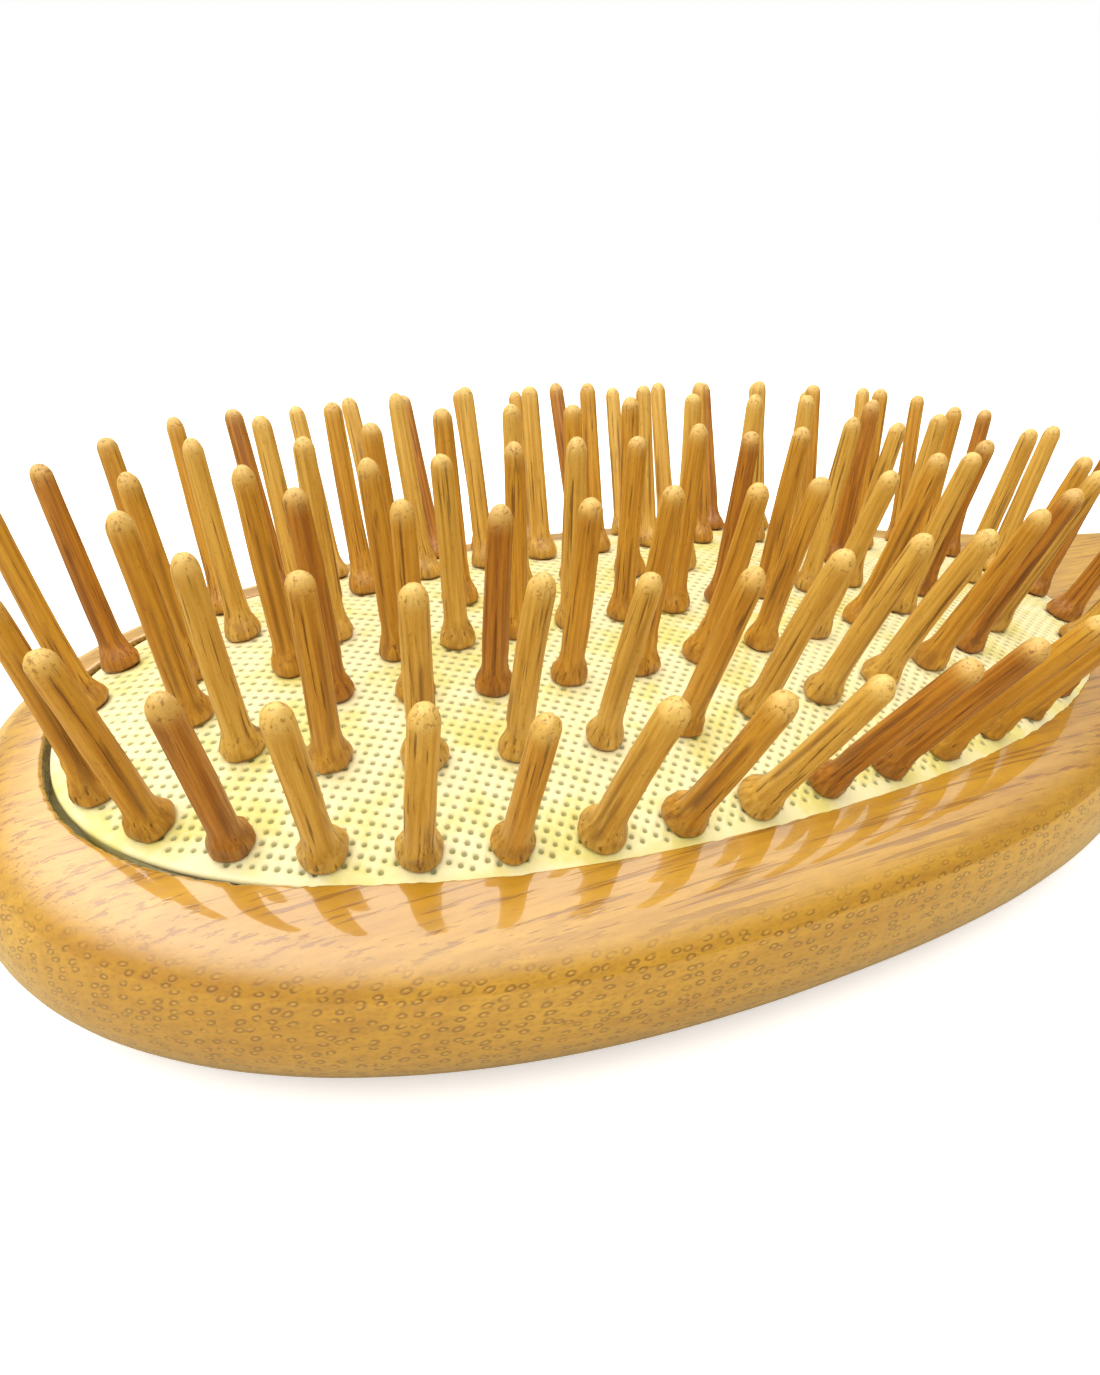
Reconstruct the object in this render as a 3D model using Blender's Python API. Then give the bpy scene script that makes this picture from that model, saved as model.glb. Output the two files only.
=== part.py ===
"""Bamboo air-cushion paddle hair brush, lying on its back with the pins up.

Row frame: +X from the toe of the head to the end of the handle, +Y across the head,
+Z the way the pins point. The origin is the centre of the bounding box on the flat back.

The wooden body has an oval pocket with an undercut groove. A domed rubber cushion is
buttoned into that groove by the bead round its skirt, with air below the dome. Bamboo
pins stand in holes through the cushion, on three oval rings and one centre row. Pins
that share a node are joined below the cushion by a thin strip.
"""
import math

import bmesh
import bpy
import numpy as np

MM = 0.001

# ---- overall size
LENGTH = 240 * MM
THICKNESS = 17 * MM
RIM_WIDTH = 8.5 * MM
EDGE_RADIUS = THICKNESS / 2

# ---- cushion outline, an oval |x/a|^n + |y/b|^n = 1
CUSHION_A = 60 * MM
CUSHION_B = 31.5 * MM
OVAL_POWER = 2.3

# ---- places worked out from the sizes above
HEAD_A = CUSHION_A + RIM_WIDTH
HEAD_B = CUSHION_B + RIM_WIDTH
HEAD_X = HEAD_A - LENGTH / 2
RIM_Z = THICKNESS

# ---- handle: half-widths at distances from the head's centre
HANDLE_STATIONS = (
    (61 * MM, 24.6 * MM),
    (74 * MM, 19.6 * MM),
    (92 * MM, 15.0 * MM),
    (114 * MM, 12.4 * MM),
    (136 * MM, 12.8 * MM),
    (152 * MM, 13.4 * MM),
)
HANDLE_LEAVES_HEAD = 48 * MM
HANDLE_END = LENGTH - HEAD_A

# ---- pocket in the wood, and the groove that holds the cushion's bead
POCKET_CLEARANCE = 0.5 * MM
POCKET_DEPTH = 7 * MM
GROOVE_TOP = 2.8 * MM
GROOVE_BOTTOM = 5.6 * MM
GROOVE_OUT = 2.2 * MM

# ---- cushion
DOME_HEIGHT = 3.9 * MM
DOME_POWER = 3.3
SHEET = 1.2 * MM
SKIRT_IN = 0.4 * MM
SKIRT_WALL = 1.2 * MM
BEAD_OUT = 1.4 * MM
BEAD_TOP = 3.2 * MM
BEAD_BOTTOM = 5.2 * MM
HOLE_HALF = 1.0 * MM

# ---- pins
PIN_LENGTH = 20 * MM
COLLAR_RADIUS = 1.85 * MM
COLLAR_HEIGHT = 2.4 * MM
SHAFT_RADIUS = 1.15 * MM
SHAFT_TIP_RADIUS = 1.0 * MM
TIP_RADIUS = 0.55 * MM
TIP_HEIGHT = 0.9 * MM
PIN_SIDES = 6
LEAN_X = 0.14
LEAN_Y = 0.55
STUB_HALF = 0.6 * MM
GAP = 0.35 * MM
STRIP_HALF = 1.0 * MM
STRIP_THICKNESS = 0.8 * MM
STRIP_OVERHANG = 1.5 * MM
MOST_PINS_IN_A_NODE = 3

# ---- how far the middle of the cushion can be pushed in
PRESS_TRAVEL = 2 * MM

# ---- pin rings: inset from the cushion's outline, pitches round the oval, how far the first
# pitch lies past the toe, which pitch is left empty, where the sides end, and the cushion
# band that each ring stands on: its reach outwards and inwards and the hole's shift inwards
RINGS = (
    {"name": "outer", "inset": 2.2 * MM, "pitches": 40, "start": 0.3, "empty": 0,
     "side_x": 36 * MM, "out": 1.8 * MM, "in": 2.9 * MM, "shift": 0.9 * MM},
    {"name": "second", "inset": 11.5 * MM, "pitches": 29, "start": 0.35, "empty": None,
     "side_x": 29 * MM, "out": 2.2 * MM, "in": 2.2 * MM, "shift": 0.0},
    {"name": "third", "inset": 21 * MM, "pitches": 23, "start": -0.17, "empty": None,
     "side_x": 22 * MM, "out": 2.2 * MM, "in": 2.2 * MM, "shift": 0.0},
)
CENTRE_PINS = 10
CENTRE_PITCH = 6.4 * MM
CENTRE_BAND = 2.2 * MM

# ---- colours
WOOD_COLOUR = (0.72, 0.50, 0.24, 1)
CUSHION_COLOUR = (0.88, 0.83, 0.60, 1)
PIN_COLOURS = {
    "straw": (0.74, 0.54, 0.24, 1),
    "golden": (0.62, 0.38, 0.13, 1),
    "brown": (0.42, 0.21, 0.07, 1),
}


# ------------------------------------------------------------------ outlines and heights
def oval_points(half_x, half_y, count=720):
    """A closed oval from the toe, through the front side (-Y), to the toe again."""
    turn = np.linspace(math.pi, 3 * math.pi, count + 1)
    cos, sin = np.cos(turn), np.sin(turn)
    x = half_x * np.sign(cos) * np.abs(cos) ** (2 / OVAL_POWER)
    y = half_y * np.sign(sin) * np.abs(sin) ** (2 / OVAL_POWER)
    return np.stack([x, y], -1)


def along(points, distance):
    """The point and unit tangent at a distance along a polyline."""
    steps = np.linalg.norm(np.diff(points, axis=0), axis=1)
    travelled = np.concatenate([[0], np.cumsum(steps)])
    at = distance % travelled[-1]
    ahead = min(at + 0.2 * MM, travelled[-1])
    behind = max(at - 0.2 * MM, 0)
    place, front, back = (
        np.array([np.interp(d, travelled, points[:, i]) for i in (0, 1)])
        for d in (at, ahead, behind)
    )
    return place, (front - back) / np.linalg.norm(front - back)


class OvalTrack:
    """The closed line of a ring, at an inset from the cushion's outline."""

    def __init__(self, inset):
        self.points = oval_points(CUSHION_A - inset, CUSHION_B - inset)
        self.length = np.linalg.norm(np.diff(self.points, axis=0), axis=1).sum()

    def at(self, distance):
        return along(self.points, distance)


class StraightTrack:
    """The centre row's line, with distance measured from the head's centre."""

    def at(self, distance):
        return np.array([distance, 0.0]), np.array([1.0, 0.0])


def inward(tangent):
    return np.array([-tangent[1], tangent[0]])


def dome(x, y):
    """The cushion's height above the rim at a point measured from the head's centre."""
    reach = abs(x / CUSHION_A) ** OVAL_POWER + abs(y / CUSHION_B) ** OVAL_POWER
    return DOME_HEIGHT * (1 - min(reach, 1) ** (DOME_POWER / OVAL_POWER))


def dome_slope(x, y):
    step = 0.05 * MM
    along_x = (dome(x + step, y) - dome(x - step, y)) / (2 * step)
    along_y = (dome(x, y + step) - dome(x, y - step)) / (2 * step)
    return along_x, along_y


# ------------------------------------------------------------------ pin layout
def ring_pins(ring):
    """(distance along the ring, region) of each pin, starting at the front side."""
    track = OvalTrack(ring["inset"])
    pitch = track.length / ring["pitches"]
    pins = []
    for number in range(ring["pitches"]):
        if number == ring["empty"]:
            continue
        distance = (ring["start"] + number) * pitch
        (x, y), _ = track.at(distance)
        if abs(x) <= ring["side_x"]:
            region = "front" if y < 0 else "back"
        else:
            region = "toe" if x < 0 else "heel"
        pins.append((distance, region))
    first = next(i for i, pin in enumerate(pins) if pin[1] == "front")
    turned = pins[first:] + [(d + track.length, r) for d, r in pins[:first]]
    return track, turned


def pin_groups():
    """Every body of pins: its name, its track, the hole's shift and its pins' distances."""
    groups = []
    for ring in RINGS:
        track, pins = ring_pins(ring)
        for region in ("front", "heel", "back", "toe"):
            distances = [d for d, r in pins if r == region]
            groups.append((f"{ring['name']}_{region}", region, track, ring["shift"], distances))
    middle = (CENTRE_PINS - 1) / 2
    row = [(i - middle) * CENTRE_PITCH for i in range(CENTRE_PINS)]
    groups.append(("centre_row", "centre", StraightTrack(), 0.0, row))
    return groups


def press_pivot(region, track, distances):
    """Where a group of pins turns as the dome flattens, and by what angle at full travel.

    A patch of the dome sinks in proportion to its height and turns as its slope eases, so
    it swings about a line on its rim side, at the distance sink / turn.
    """
    bases = np.array([track.at(d)[0] for d in distances])
    height = np.mean([dome(*base) for base in bases])
    centre = bases.mean(axis=0)
    if region == "centre":
        return (centre[0], centre[1], height), PRESS_TRAVEL
    axis = 1 if region in ("front", "back") else 0
    slope = np.mean([abs(dome_slope(*base)[axis]) for base in bases])
    eased = slope * (1 - PRESS_TRAVEL / DOME_HEIGHT)
    turn = math.atan(slope) - math.atan(eased)
    sink = height * PRESS_TRAVEL / DOME_HEIGHT
    side = -1 if region in ("front", "toe") else 1
    pivot = [centre[0], centre[1], height]
    pivot[axis] += side * sink / turn
    return tuple(pivot), turn


# ------------------------------------------------------------------ mesh helpers
def add_ring(mesh, points):
    return [mesh.verts.new(p) for p in points]


def skin(mesh, ring_a, ring_b):
    """Joins two closed rings of the same length with quads."""
    count = len(ring_a)
    for i in range(count):
        j = (i + 1) % count
        mesh.faces.new((ring_a[i], ring_a[j], ring_b[j], ring_b[i]))


def zip_rings(mesh, inner, outer):
    """Joins two closed rings of different lengths with triangles, by the shorter diagonal."""
    offset = min(range(len(outer)), key=lambda k: (outer[k].co - inner[0].co).length)
    outer = outer[offset:] + outer[:offset]
    i = j = 0
    while i < len(inner) or j < len(outer):
        a, b = inner[i % len(inner)], outer[j % len(outer)]
        next_a, next_b = inner[(i + 1) % len(inner)], outer[(j + 1) % len(outer)]
        cut_a = (next_a.co - b.co).length if i < len(inner) else math.inf
        cut_b = (a.co - next_b.co).length if j < len(outer) else math.inf
        if cut_a <= cut_b:
            mesh.faces.new((a, b, next_a))
            i += 1
        else:
            mesh.faces.new((a, b, next_b))
            j += 1


def finish_object(name, mesh, colour, roughness, parent=None):
    """Makes the object, with its mesh measured from its parent's place."""
    bmesh.ops.recalc_face_normals(mesh, faces=mesh.faces)
    data = bpy.data.meshes.new(name)
    mesh.to_mesh(data)
    mesh.free()
    item = bpy.data.objects.new(name, data)
    bpy.context.collection.objects.link(item)
    if parent is not None:
        item.parent = parent
    if colour is not None:
        data.materials.append(principled(name, colour, roughness))
    return item


def principled(name, colour, roughness):
    material = bpy.data.materials.new(name)
    material.use_nodes = True
    shader = material.node_tree.nodes["Principled BSDF"]
    shader.inputs["Base Color"].default_value = colour
    shader.inputs["Roughness"].default_value = roughness
    shader.inputs["Metallic"].default_value = 0.0
    return material


def world(x, y, z):
    """A point given from the centre of the head, at the level of the rim."""
    return np.array([x + HEAD_X, y, z + RIM_Z])


# ------------------------------------------------------------------ wooden body
def handle_side():
    """One side of the handle, from where it leaves the head to its end, as a smooth curve."""
    head = oval_points(HEAD_A, HEAD_B)
    upper = head[(head[:, 1] > 0) & (head[:, 0] > 0)]
    upper = upper[np.argsort(upper[:, 0])]
    leave = HANDLE_LEAVES_HEAD
    before = leave - 14 * MM
    anchors = [(x, np.interp(x, upper[:, 0], upper[:, 1])) for x in (before, leave)]
    anchors += HANDLE_STATIONS
    end_radius = HANDLE_END - HANDLE_STATIONS[-1][0]
    last_width = HANDLE_STATIONS[-1][1]
    anchors.append((HANDLE_STATIONS[-1][0] + 0.6 * end_radius, last_width * 0.82))
    anchors = np.array(anchors)
    curve = []
    for i in range(1, len(anchors) - 2):
        p0, p1, p2, p3 = anchors[i - 1:i + 3]
        for t in np.linspace(0, 1, 12, endpoint=False):
            curve.append(0.5 * (2 * p1 + (p2 - p0) * t + (2 * p0 - 5 * p1 + 4 * p2 - p3) * t**2
                                + (3 * p1 - p0 - 3 * p2 + p3) * t**3))
    start_x, start_y = HANDLE_STATIONS[-1]
    for t in np.linspace(0, math.pi / 2, 16):
        curve.append((start_x + end_radius * math.sin(t), start_y * math.cos(t) ** 0.9))
    return np.array(curve)


def body_outline(count):
    """The head and handle seen from above, as evenly spaced points from the toe."""
    head = oval_points(HEAD_A, HEAD_B)
    front = head[(head[:, 1] <= 0) & (head[:, 0] < HANDLE_LEAVES_HEAD)]
    front = front[np.argsort(front[:, 0])]
    side = handle_side() * (1, -1)
    half = np.concatenate([front, side])
    back = half[::-1][1:-1] * (1, -1)
    closed = np.concatenate([half, back, half[:1]])
    length = np.linalg.norm(np.diff(closed, axis=0), axis=1).sum()
    return [along(closed, length * i / count) for i in range(count)]


def make_body():
    mesh = bmesh.new()
    outline = body_outline(96)
    rings = []
    for step in range(7):
        angle = math.pi * step / 6
        inset = EDGE_RADIUS * (1 - math.sin(angle))
        height = EDGE_RADIUS * (math.cos(angle) - 1)
        points = []
        for place, tangent in outline:
            x, y = place + inset * inward(tangent)
            points.append(world(x, y, height))
        rings.append(add_ring(mesh, points))
    for upper, lower in zip(rings, rings[1:]):
        skin(mesh, upper, lower)
    mesh.faces.new(rings[0])
    mesh.faces.new(rings[-1])
    body = finish_object("bamboo_body", mesh, WOOD_COLOUR, 0.3)
    cutter = make_pocket_cutter()
    cut = body.modifiers.new("pocket", "BOOLEAN")
    cut.operation = "DIFFERENCE"
    cut.solver = "EXACT"
    cut.object = cutter
    return body


def make_pocket_cutter():
    """The oval pocket with its undercut groove, as one solid that stands above the rim."""
    mesh = bmesh.new()
    levels = (
        (POCKET_CLEARANCE, 3 * MM),
        (POCKET_CLEARANCE, -GROOVE_TOP),
        (GROOVE_OUT, -GROOVE_TOP),
        (GROOVE_OUT, -GROOVE_BOTTOM),
        (POCKET_CLEARANCE, -GROOVE_BOTTOM),
        (POCKET_CLEARANCE, -POCKET_DEPTH),
    )
    rings = []
    for outset, height in levels:
        track = OvalTrack(-outset)
        places = [track.at(track.length * i / 64)[0] for i in range(64)]
        rings.append(add_ring(mesh, [world(x, y, height) for x, y in places]))
    for upper, lower in zip(rings, rings[1:]):
        skin(mesh, upper, lower)
    mesh.faces.new(rings[0])
    mesh.faces.new(rings[-1])
    cutter = finish_object("pocket_cutter", mesh, None, 0)
    cutter.hide_render = True
    cutter.display_type = "WIRE"
    return cutter


# ------------------------------------------------------------------ cushion
def sheet_vertex(mesh, place, sink):
    x, y = place
    return mesh.verts.new(world(x, y, dome(x, y) - sink))


def add_hole(mesh, corners_top, corners_low, place, tangent):
    """A square hole through one cell of the cushion, square to the ring."""
    side = inward(tangent)
    ring_top, ring_low = [], []
    for a, b in ((1, 1), (-1, 1), (-1, -1), (1, -1)):
        spot = place + HOLE_HALF * (a * tangent + b * side)
        ring_top.append(sheet_vertex(mesh, spot, 0))
        ring_low.append(sheet_vertex(mesh, spot, SHEET))
    skin(mesh, corners_top, ring_top)
    skin(mesh, ring_top, ring_low)
    skin(mesh, ring_low, corners_low)


def cushion_band(mesh, ring):
    """One ring's band of the cushion. Returns its inner and outer loops, top and underside."""
    track = OvalTrack(ring["inset"])
    pitch = track.length / ring["pitches"]
    loops = {"in_top": [], "in_low": [], "out_top": [], "out_low": []}
    out_low = min(ring["out"], ring["inset"] - SKIRT_IN - SKIRT_WALL)
    for number in range(ring["pitches"]):
        place, tangent = track.at((ring["start"] + number - 0.5) * pitch)
        side = inward(tangent)
        loops["in_top"].append(sheet_vertex(mesh, place + ring["in"] * side, 0))
        loops["in_low"].append(sheet_vertex(mesh, place + ring["in"] * side, SHEET))
        loops["out_top"].append(sheet_vertex(mesh, place - ring["out"] * side, 0))
        loops["out_low"].append(sheet_vertex(mesh, place - out_low * side, SHEET))
    for number in range(ring["pitches"]):
        after = (number + 1) % ring["pitches"]
        top, low = (
            [loops[f"in_{level}"][after], loops[f"in_{level}"][number],
             loops[f"out_{level}"][number], loops[f"out_{level}"][after]]
            for level in ("top", "low")
        )
        if number == ring["empty"]:
            mesh.faces.new(top)
            mesh.faces.new(low)
            continue
        place, tangent = track.at((ring["start"] + number) * pitch)
        add_hole(mesh, top, low, place + ring["shift"] * inward(tangent), tangent)
    return loops


def centre_band(mesh):
    """The centre row's band of the cushion. Returns its outer loop, top and underside."""
    pins = [(i - (CENTRE_PINS - 1) / 2) * CENTRE_PITCH for i in range(CENTRE_PINS)]
    stations = [pins[0] - CENTRE_PITCH / 2 + i * CENTRE_PITCH for i in range(CENTRE_PINS + 1)]
    sides = {}
    for level, sink in (("top", 0), ("low", SHEET)):
        for name, y in (("front", -CENTRE_BAND), ("back", CENTRE_BAND)):
            sides[name, level] = [
                sheet_vertex(mesh, np.array([x, y]), sink) for x in stations
            ]
    for i, x in enumerate(pins):
        top, low = (
            [sides["back", level][i + 1], sides["back", level][i],
             sides["front", level][i], sides["front", level][i + 1]]
            for level in ("top", "low")
        )
        add_hole(mesh, top, low, np.array([x, 0.0]), np.array([1.0, 0.0]))
    return {
        f"out_{level}": sides["front", level] + sides["back", level][::-1]
        for level in ("top", "low")
    }


def make_cushion():
    mesh = bmesh.new()
    bands = [cushion_band(mesh, ring) for ring in RINGS] + [centre_band(mesh)]
    for outer, inner in zip(bands, bands[1:]):
        for level in ("top", "low"):
            zip_rings(mesh, inner[f"out_{level}"], outer[f"in_{level}"])
    ring = RINGS[0]
    track = OvalTrack(ring["inset"])
    pitch = track.length / ring["pitches"]
    skirt = (
        (SKIRT_IN, BEAD_TOP),
        (-BEAD_OUT, BEAD_TOP),
        (-BEAD_OUT, BEAD_BOTTOM),
        (SKIRT_IN + SKIRT_WALL, BEAD_BOTTOM),
    )
    loops = [bands[0]["out_top"]]
    for inset, depth in skirt:
        points = []
        for number in range(ring["pitches"]):
            place, tangent = track.at((ring["start"] + number - 0.5) * pitch)
            x, y = place + (inset - ring["inset"]) * inward(tangent)
            points.append(world(x, y, -depth))
        loops.append(add_ring(mesh, points))
    loops.append(bands[0]["out_low"])
    for upper, lower in zip(loops, loops[1:]):
        skin(mesh, upper, lower)
    return finish_object("rubber_cushion", mesh, CUSHION_COLOUR, 0.6)


# ------------------------------------------------------------------ pins
def pin_axis(x, y):
    lean = np.array([LEAN_X * x / CUSHION_A, LEAN_Y * y / CUSHION_B, 1.0])
    return lean / np.linalg.norm(lean)


def circle(centre, radius, across, up, count):
    return [
        centre + radius * (math.cos(a) * across + math.sin(a) * up)
        for a in (2 * math.pi * (k + 0.5) / count for k in range(count))
    ]


def strip_top(x, y):
    """The top of the strip that joins the stubs, just below the cushion."""
    return dome(x, y) - SHEET - GAP


def add_pin(mesh, place, tangent, shift, origin):
    """One pin: a stub through the cushion, a flared collar, and a shaft with a round tip."""
    side = inward(tangent)
    stub = place + shift * side
    under = [
        stub + STUB_HALF * (a * tangent + b * side)
        for a, b in ((1, 1), (-1, 1), (-1, -1), (1, -1))
    ]
    stub_low = add_ring(mesh, [world(x, y, strip_top(x, y)) - origin for x, y in under])
    stub_top = add_ring(mesh, [world(x, y, dome(x, y) + GAP) - origin for x, y in under])
    skin(mesh, stub_low, stub_top)

    axis = pin_axis(*place)
    across = np.array([tangent[0], tangent[1], 0.0])
    across -= across.dot(axis) * axis
    across /= np.linalg.norm(across)
    up = np.cross(axis, across)
    flat_across = np.array([tangent[0], tangent[1]])
    foot = circle(place, COLLAR_RADIUS, flat_across, side, PIN_SIDES)
    foot = add_ring(mesh, [world(x, y, dome(x, y) + GAP) - origin for x, y in foot])
    zip_rings(mesh, stub_top, foot)
    base = world(place[0], place[1], dome(*place)) - origin
    profile = (
        (COLLAR_HEIGHT, SHAFT_RADIUS),
        (PIN_LENGTH - TIP_HEIGHT, SHAFT_TIP_RADIUS),
        (PIN_LENGTH, TIP_RADIUS),
    )
    below = foot
    for height, radius in profile:
        ring = add_ring(mesh, circle(base + height * axis, radius, across, up, PIN_SIDES))
        skin(mesh, below, ring)
        below = ring
    mesh.faces.new(below)
    return stub_low


def add_strip(mesh, track, distances, shift, stubs, origin):
    """The strip that joins a group's stubs below the cushion."""
    middles = [(a + b) / 2 for a, b in zip(distances, distances[1:])]
    stations = [distances[0] - STRIP_OVERHANG, *middles, distances[-1] + STRIP_OVERHANG]
    rows = []
    for station in stations:
        place, tangent = track.at(station)
        side = inward(tangent)
        row = {}
        for name, reach in (("in", STRIP_HALF), ("out", -STRIP_HALF)):
            x, y = place + (shift + reach) * side
            for level, sink in (("top", 0), ("low", STRIP_THICKNESS)):
                row[name, level] = mesh.verts.new(world(x, y, strip_top(x, y) - sink) - origin)
        rows.append(row)
    for before, after, stub in zip(rows, rows[1:], stubs):
        top, low = (
            [after["in", level], before["in", level], before["out", level], after["out", level]]
            for level in ("top", "low")
        )
        skin(mesh, top, stub)
        mesh.faces.new(low)
        for name in ("in", "out"):
            side = [after[name, "top"], before[name, "top"]]
            mesh.faces.new(side + [before[name, "low"], after[name, "low"]])
    for row in (rows[0], rows[-1]):
        mesh.faces.new([row["in", "top"], row["out", "top"], row["out", "low"], row["in", "low"]])


def make_pins():
    colours = list(PIN_COLOURS)
    made = 0
    for name, region, track, shift, distances in pin_groups():
        pivot, _ = press_pivot(region, track, distances)
        empty = bpy.data.objects.new(f"{name}_pivot", None)
        bpy.context.collection.objects.link(empty)
        empty.location = world(*pivot)
        origin = world(*pivot)
        chunks = np.array_split(distances, math.ceil(len(distances) / MOST_PINS_IN_A_NODE))
        for number, chunk in enumerate(chunks, 1):
            mesh = bmesh.new()
            stubs = []
            for distance in chunk:
                place, tangent = track.at(distance)
                stubs.append(add_pin(mesh, place, tangent, shift, origin))
            add_strip(mesh, track, list(chunk), shift, stubs, origin)
            tint = PIN_COLOURS[colours[made * 2 % 3]]
            finish_object(f"pins_{name}_{number}", mesh, tint, 0.55, empty)
            made += 1


def main():
    for item in list(bpy.data.objects):
        bpy.data.objects.remove(item, do_unlink=True)
    make_body()
    make_cushion()
    make_pins()


main()
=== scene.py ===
"""Looks of the bamboo air-cushion paddle brush: wood, rubber cushion and bamboo pins.

Shapes are worked out in millimetres from the centre of the head, with z = 0 at the level of
the wooden rim, and are turned into the row frame's metres when a mesh is made.
"""

import math

import bmesh
import bpy
import numpy as np
from mathutils import Matrix, Vector
from mathutils.geometry import delaunay_2d_cdt


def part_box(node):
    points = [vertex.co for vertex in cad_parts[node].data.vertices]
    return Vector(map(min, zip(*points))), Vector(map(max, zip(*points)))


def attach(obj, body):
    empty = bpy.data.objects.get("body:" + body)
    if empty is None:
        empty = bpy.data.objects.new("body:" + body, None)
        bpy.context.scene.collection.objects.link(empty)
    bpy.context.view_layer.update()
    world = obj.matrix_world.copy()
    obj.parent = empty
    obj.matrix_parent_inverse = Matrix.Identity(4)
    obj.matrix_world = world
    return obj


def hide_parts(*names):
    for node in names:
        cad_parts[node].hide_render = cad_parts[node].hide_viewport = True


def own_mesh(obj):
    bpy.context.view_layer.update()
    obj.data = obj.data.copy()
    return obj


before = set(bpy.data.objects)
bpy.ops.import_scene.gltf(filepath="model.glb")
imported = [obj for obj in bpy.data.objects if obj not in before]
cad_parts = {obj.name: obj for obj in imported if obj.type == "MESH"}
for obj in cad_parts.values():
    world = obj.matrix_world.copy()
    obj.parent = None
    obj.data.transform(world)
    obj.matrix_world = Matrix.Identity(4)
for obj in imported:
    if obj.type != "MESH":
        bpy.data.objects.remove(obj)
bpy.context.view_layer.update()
MM = 0.001

# ---- sizes read from the frame
BODY_LOW, BODY_HIGH = (np.array(corner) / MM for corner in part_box("bamboo_body"))
LENGTH, WIDTH, THICKNESS = BODY_HIGH - BODY_LOW
RIM_WIDTH = EDGE_RADIUS = THICKNESS / 2
HEAD_B = WIDTH / 2
CUSHION_B = HEAD_B - RIM_WIDTH

# ---- driving sizes, the same as the CAD's
CUSHION_A = 60.0
HEAD_A = CUSHION_A + RIM_WIDTH
HEAD_X = HEAD_A - LENGTH / 2
RIM_Z = THICKNESS
OVAL_POWER = 2.3
HANDLE_STATIONS = ((61, 24.6), (74, 19.6), (92, 15.0), (114, 12.4), (136, 12.8), (152, 13.4))
HANDLE_LEAVES_HEAD = 48.0
HANDLE_END = LENGTH - HEAD_A
POCKET_CLEARANCE, POCKET_DEPTH = 0.5, 7.0
GROOVE_TOP, GROOVE_BOTTOM, GROOVE_OUT = 2.8, 5.6, 2.2
DOME_HEIGHT, DOME_POWER, SHEET = 3.9, 3.3, 1.2
SKIRT_IN, SKIRT_WALL, BEAD_OUT, BEAD_TOP, BEAD_BOTTOM = 0.4, 1.2, 1.4, 3.2, 5.2
PIN_LENGTH, SHAFT_RADIUS, SHAFT_TIP_RADIUS = 20.0, 1.15, 1.0
LEAN_X, LEAN_Y = 0.14, 0.55
MOST_PINS_IN_A_NODE = 3
RINGS = (
    {"name": "outer", "inset": 2.2, "pitches": 40, "start": 0.3, "empty": 0, "side_x": 36,
     "shift": 0.9},
    {"name": "second", "inset": 11.5, "pitches": 29, "start": 0.35, "empty": None, "side_x": 29,
     "shift": 0.0},
    {"name": "third", "inset": 21, "pitches": 23, "start": -0.17, "empty": None, "side_x": 22,
     "shift": 0.0},
)
CENTRE_PINS, CENTRE_PITCH = 10, 6.4


# ------------------------------------------------------------------ outlines and heights
def oval_points(half_x, half_y, count=720):
    """A closed oval from the toe, through the front side (-Y), to the toe again."""
    turn = np.linspace(math.pi, 3 * math.pi, count + 1)
    cos, sin = np.cos(turn), np.sin(turn)
    x = half_x * np.sign(cos) * np.abs(cos) ** (2 / OVAL_POWER)
    y = half_y * np.sign(sin) * np.abs(sin) ** (2 / OVAL_POWER)
    return np.stack([x, y], -1)


def along(points, distance):
    """The point and unit tangent at a distance along a polyline."""
    steps = np.linalg.norm(np.diff(points, axis=0), axis=1)
    travelled = np.concatenate([[0], np.cumsum(steps)])
    at = distance % travelled[-1]
    ahead, behind = min(at + 0.2, travelled[-1]), max(at - 0.2, 0)
    place, front, back = (
        np.array([np.interp(d, travelled, points[:, i]) for i in (0, 1)])
        for d in (at, ahead, behind)
    )
    return place, (front - back) / np.linalg.norm(front - back)


def evenly(points, count, start=0.0):
    """Evenly spaced points and unit tangents round a closed polyline."""
    length = np.linalg.norm(np.diff(points, axis=0), axis=1).sum()
    found = [along(points, start + length * i / count) for i in range(count)]
    return np.array([f[0] for f in found]), np.array([f[1] for f in found])


def inward(tangent):
    """The unit vector to the left of the way of travel, which is towards the inside."""
    return np.stack([-tangent[..., 1], tangent[..., 0]], -1)


class OvalTrack:
    """The closed line of a ring, at an inset from the cushion's outline."""

    def __init__(self, inset):
        self.points = oval_points(CUSHION_A - inset, CUSHION_B - inset)
        self.length = np.linalg.norm(np.diff(self.points, axis=0), axis=1).sum()

    def at(self, distance):
        return along(self.points, distance)


class StraightTrack:
    """The centre row's line, with distance measured from the head's centre."""

    def at(self, distance):
        return np.array([distance, 0.0]), np.array([1.0, 0.0])


def oval_reach(x, y):
    """0 at the head's centre, 1 on the cushion's outline."""
    return (np.abs(x / CUSHION_A) ** OVAL_POWER + np.abs(y / CUSHION_B) ** OVAL_POWER) ** (
        1 / OVAL_POWER
    )


def dome(x, y):
    return DOME_HEIGHT * (1 - np.minimum(oval_reach(x, y), 1) ** DOME_POWER)


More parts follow.
